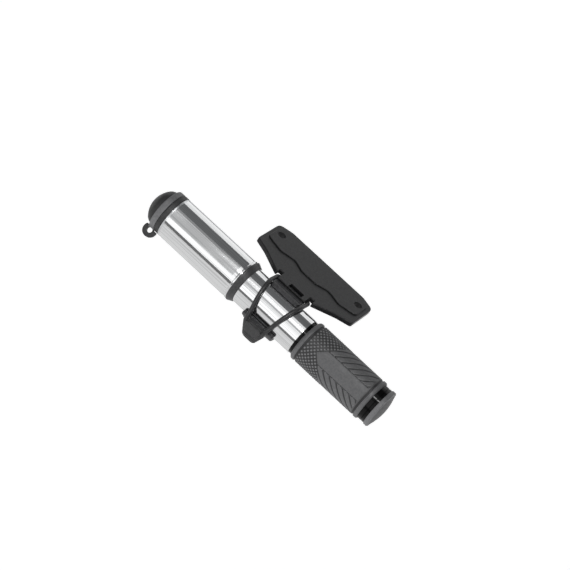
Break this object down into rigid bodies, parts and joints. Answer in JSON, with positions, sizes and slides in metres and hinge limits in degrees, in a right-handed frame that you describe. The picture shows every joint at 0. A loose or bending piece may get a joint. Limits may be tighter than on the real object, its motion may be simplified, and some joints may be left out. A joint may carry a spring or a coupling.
{
  "type": "mini pump",
  "caption": "Telescoping hand pump for bicycle tyres with a stored hose under a dust cap, held in a clip and strap on a frame bracket.",
  "frame": {"origin": "midway between the two bolt holes, on the bracket plate's underside, which meets the frame tube", "axes": "+Z along the bolts, away from the frame tube; +X along the pump towards the rubber grip; the pump lies on the -Y side of the plate"},
  "size_m": [0.1905, 0.0699, 0.0365],
  "materials": {
    "bracket_plastic": "dark grey moulded nylon, fine spark texture",
    "strap_rubber": "satin black rubber",
    "polished_aluminium": "polished lengthwise and clear anodised",
    "satin_aluminium": "fine turned finish",
    "rod_aluminium": "drawn tube, bright",
    "dark_aluminium": "black anodised",
    "gloss_plastic": "gloss black",
    "collar_plastic": "dark grey moulded plastic",
    "inner_plastic": "natural acetal",
    "grip_rubber": "mid grey soft rubber",
    "bumper_rubber": "grey rubber",
    "ring_rubber": "black rubber",
    "cap_rubber": "dark grey soft rubber",
    "seal_rubber": "black nitrile",
    "hose_rubber": "black hose",
    "brass": "turned brass",
    "spring_steel": "bright steel"
  },
  "bodies": {
    "bracket": {"bracket_plate": "bracket_plastic", "clip_cradle": "bracket_plastic"},
    "strap": {"retaining_strap": "strap_rubber"},
    "barrel": {"barrel_tube": "polished_aluminium", "grip_core": "gloss_plastic", "grip_sleeve": "grip_rubber", "barrel_end_plug": "gloss_plastic", "end_plug_seal": "seal_rubber", "rear_bumper": "bumper_rubber", "rod_gland": "inner_plastic", "gland_wiper": "seal_rubber", "gland_bumper": "seal_rubber"},
    "handle": {"handle_sleeve": "polished_aluminium", "handle_collar": "collar_plastic", "handle_end_plug": "satin_aluminium", "cap_retaining_ring": "ring_rubber", "piston_rod": "rod_aluminium", "hose_bush": "inner_plastic", "piston_head": "inner_plastic", "piston_seal": "seal_rubber", "valve_seat": "brass", "valve_spring": "spring_steel"},
    "check_ball": {"valve_ball": "spring_steel"},
    "hose_line": {"hose": "hose_rubber", "hose_ferrule": "brass", "ferrule_seal": "seal_rubber", "hose_crimp": "satin_aluminium", "head_body": "satin_aluminium", "head_gasket": "seal_rubber"},
    "lock_collar": {"head_chuck": "dark_aluminium"},
    "cap": {"dust_cap": "cap_rubber"}
  },
  "joints": [
    {"name": "pump_release", "type": "slide", "parent": "bracket", "child": "barrel", "axis": [0, -0.8448, 0.5351], "range_m": [0, 0.045], "deforming": ["clip_cradle"]},
    {"name": "strap_swing", "type": "hinge", "parent": "bracket", "child": "strap", "pos_m": [0, -0.0284, -0.00045], "axis": [-1, 0, 0], "range_deg": [0, 80], "deforming": ["retaining_strap"]},
    {"name": "pump_stroke", "type": "slide", "parent": "barrel", "child": "handle", "axis": [-1, 0, 0], "range_m": [0, 0.113]},
    {"name": "hose_pull", "type": "slide", "parent": "handle", "child": "hose_line", "axis": [-1, 0, 0], "range_m": [0, 0.109]},
    {"name": "collar_turn", "type": "hinge", "parent": "hose_line", "child": "lock_collar", "pos_m": [-0.0929, -0.04, -0.0131], "axis": [1, 0, 0], "continuous": true},
    {"name": "cap_swing", "type": "hinge", "parent": "handle", "child": "cap", "pos_m": [-0.0896, -0.04895, -0.02588], "axis": [0, -0.8192, 0.5736], "range_deg": [0, 150], "deforming": ["dust_cap"]},
    {"name": "check_ball_lift", "type": "slide", "parent": "handle", "child": "check_ball", "axis": [-1, 0, 0], "range_m": [0, 0.0009], "stiffness_N_per_m": 40, "springref_m": -0.001, "deforming": ["valve_spring"]}
  ],
  "couplings": [
    {"joint": "strap_swing", "follows": "pump_release", "rad_per_m": 31},
    {"joint": "cap_swing", "follows": "hose_pull", "rad_per_m": 24}
  ]
}
